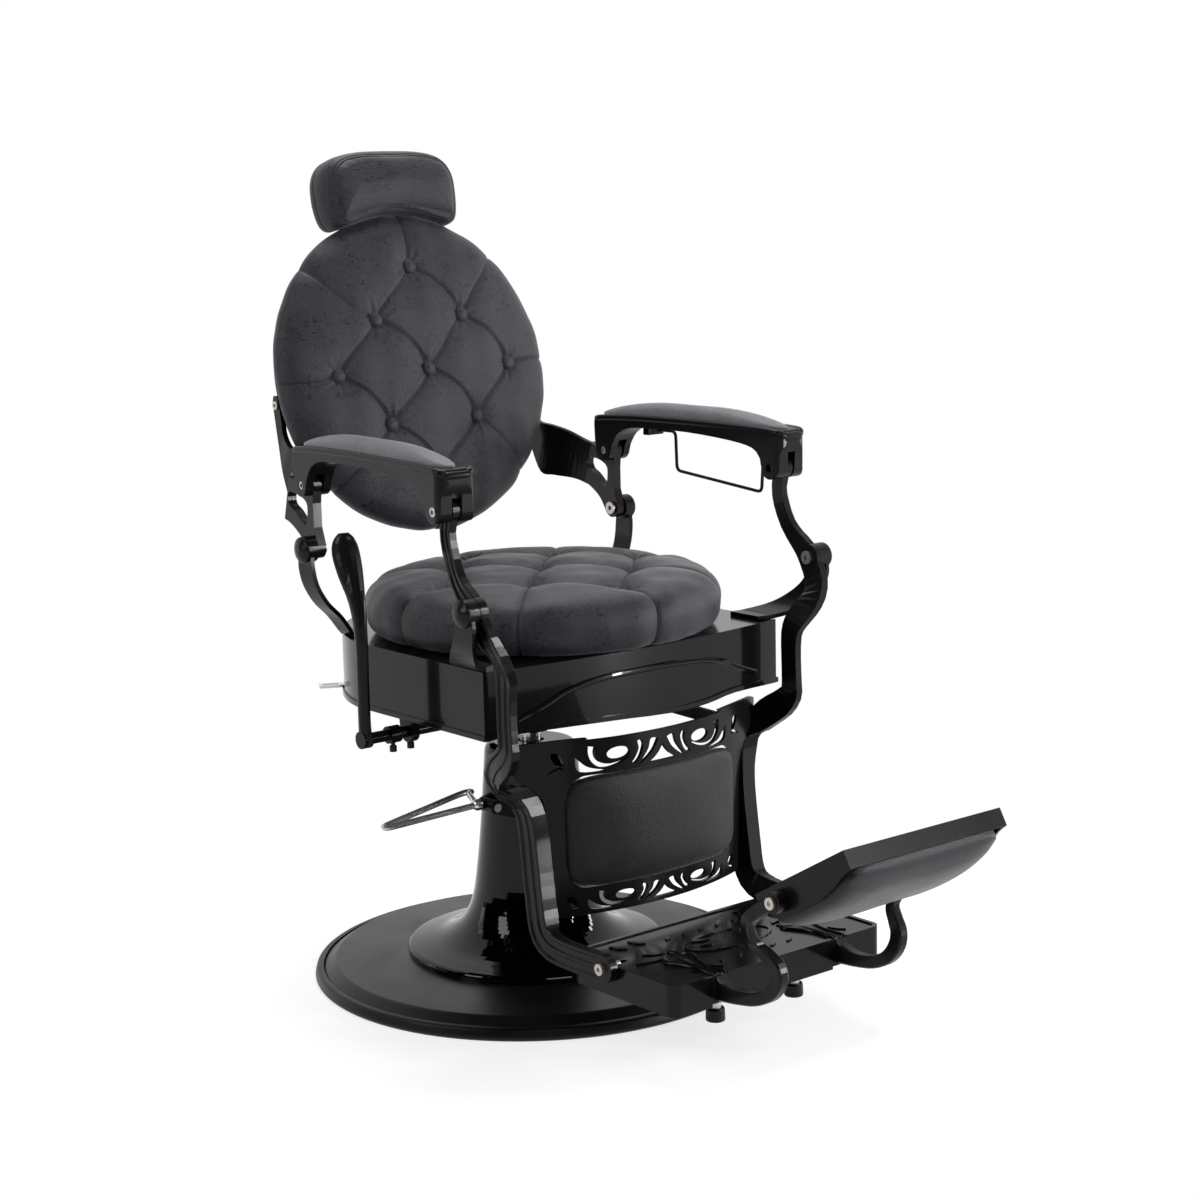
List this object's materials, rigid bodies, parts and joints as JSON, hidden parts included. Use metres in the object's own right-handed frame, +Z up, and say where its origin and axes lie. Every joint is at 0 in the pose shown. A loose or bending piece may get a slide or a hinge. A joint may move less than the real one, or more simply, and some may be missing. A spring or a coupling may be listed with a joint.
{
  "type": "hydraulic barber chair",
  "caption": "Reclining hydraulic barber chair with tufted charcoal leather seat and round back, headrest, black cast arms and levers, scroll-cut leg panel, footplate and flip-over step.",
  "frame": {"origin": "centre of the base on the floor, directly under the lift axis", "axes": "+Z is up; the sitter faces -Y; +X is the sitter's left"},
  "size_m": [0.663, 1.1854, 1.1902],
  "materials": {
    "black_paint": "satin",
    "satin_graphite": "satin",
    "gloss_cover": "gloss",
    "ring_rubber": "matte",
    "chrome": "polished",
    "screw_steel": "satin",
    "black_screws": "satin",
    "charcoal_leather": "satin",
    "plywood": "matte"
  },
  "bodies": {
    "base": {"base_ring": "ring_rubber", "base_disc": "black_paint", "pump_cover": "gloss_cover", "pump_cylinder": "satin_graphite", "pedal_bracket": "satin_graphite", "pedal_pin": "screw_steel"},
    "pedal": {"pedal_hub": "black_paint", "pump_pedal": "chrome"},
    "ram": {"pump_ram": "chrome"},
    "seat": {"seat_mount": "satin_graphite", "seat_tray": "black_paint", "apron_bead": "black_paint", "seat_board": "plywood", "seat_cushion": "charcoal_leather", "front_bracket_left": "satin_graphite", "front_bracket_right": "satin_graphite", "rear_bracket_left": "satin_graphite", "rear_bracket_right": "satin_graphite", "pivot_bolts": "screw_steel", "shaft_hangers": "black_paint", "hanger_screw": "black_screws", "tray_tab": "chrome", "lock_clamp": "satin_graphite"},
    "handle": {"handle_shaft": "satin_graphite", "recline_handle": "satin_graphite", "collar_screw": "black_screws"},
    "back": {"back_lever_left": "satin_graphite", "back_lever_right": "satin_graphite", "back_shell": "satin_graphite", "back_bolts": "screw_steel", "back_cushion": "charcoal_leather", "back_buttons": "charcoal_leather", "headrest_socket": "satin_graphite", "headrest_knob": "black_paint"},
    "headrest_post": {"headrest_bar": "chrome"},
    "headrest": {"headrest_bracket": "satin_graphite", "headrest_cushion": "charcoal_leather"},
    "arm_left": {"arm_left": "black_paint", "arm_pad_left": "charcoal_leather", "arm_bolts_left": "screw_steel", "towel_clips": "satin_graphite"},
    "arm_right": {"arm_right": "black_paint", "arm_pad_right": "charcoal_leather", "arm_bolts_right": "screw_steel"},
    "towel_rail": {"towel_rail": "black_paint"},
    "legs": {"leg_left": "satin_graphite", "leg_right": "satin_graphite", "leg_panel": "black_paint", "leg_pad": "charcoal_leather", "lock_pin": "screw_steel", "footplate": "black_paint", "footplate_bolts": "screw_steel", "hook_left": "black_paint", "hook_right": "black_paint", "foot_studs": "screw_steel", "rubber_feet": "ring_rubber", "step_bolts": "screw_steel"},
    "step": {"step_shell": "black_paint", "step_pad": "charcoal_leather"},
    "lock_bar": {"lock_bar": "black_paint"}
  },
  "joints": [
    {"name": "pedal_stroke", "type": "hinge", "parent": "base", "child": "pedal", "pos_m": [-0.102, -0.033, 0.268], "axis": [0, -1, 0], "range_deg": [0, 16], "stiffness_Nm_per_rad": 6, "springref_deg": -5.73},
    {"name": "lift", "type": "slide", "parent": "base", "child": "ram", "axis": [0, 0, 1], "range_m": [0, 0.15]},
    {"name": "swivel", "type": "hinge", "parent": "ram", "child": "seat", "pos_m": [0, 0, 0.476], "axis": [0, 0, 1], "continuous": true},
    {"name": "handle_tilt", "type": "hinge", "parent": "seat", "child": "handle", "pos_m": [-0.32, -0.05, 0.404], "axis": [-1, 0, 0], "range_deg": [-18, 18]},
    {"name": "back_recline", "type": "hinge", "parent": "seat", "child": "back", "pos_m": [0, 0.124, 0.642], "axis": [-1, 0, 0], "range_deg": [0, 26]},
    {"name": "headrest_height", "type": "slide", "parent": "back", "child": "headrest_post", "axis": [0, 0.2079, 0.9781], "range_m": [0, 0.09]},
    {"name": "headrest_tilt", "type": "hinge", "parent": "headrest_post", "child": "headrest", "pos_m": [0, 0.38806, 1.11839], "axis": [-1, 0, 0], "range_deg": [0, 35]},
    {"name": "arm_link_left", "type": "hinge", "parent": "back", "child": "arm_left", "pos_m": [0.273, 0.127, 0.732], "axis": [-1, 0, 0], "range_deg": [-28.5, 0]},
    {"name": "arm_link_right", "type": "hinge", "parent": "back", "child": "arm_right", "pos_m": [-0.273, 0.127, 0.732], "axis": [-1, 0, 0], "range_deg": [-28.5, 0]},
    {"name": "towel_rail_swing", "type": "hinge", "parent": "arm_left", "child": "towel_rail", "pos_m": [0.323, -0.056, 0.761], "axis": [0, -1, 0], "range_deg": [0, 80]},
    {"name": "leg_swing", "type": "hinge", "parent": "seat", "child": "legs", "pos_m": [0, -0.28, 0.606], "axis": [-1, 0, 0], "range_deg": [0, 19.97]},
    {"name": "step_flip", "type": "hinge", "parent": "legs", "child": "step", "pos_m": [0, -0.668, 0.278], "axis": [-1, 0, 0], "range_deg": [0, 150]},
    {"name": "lock_link", "type": "hinge", "parent": "legs", "child": "lock_bar", "pos_m": [0.153, -0.244, 0.386], "axis": [-1, 0, 0], "range_deg": [-19.27, 0]}
  ],
  "couplings": [
    {"joint": "leg_swing", "follows": "back_recline", "ratio": 0.768},
    {"joint": "arm_link_left", "follows": "back_recline", "ratio": -1.096},
    {"joint": "arm_link_right", "follows": "back_recline", "ratio": -1.096},
    {"joint": "lock_link", "follows": "back_recline", "ratio": -0.7411}
  ]
}
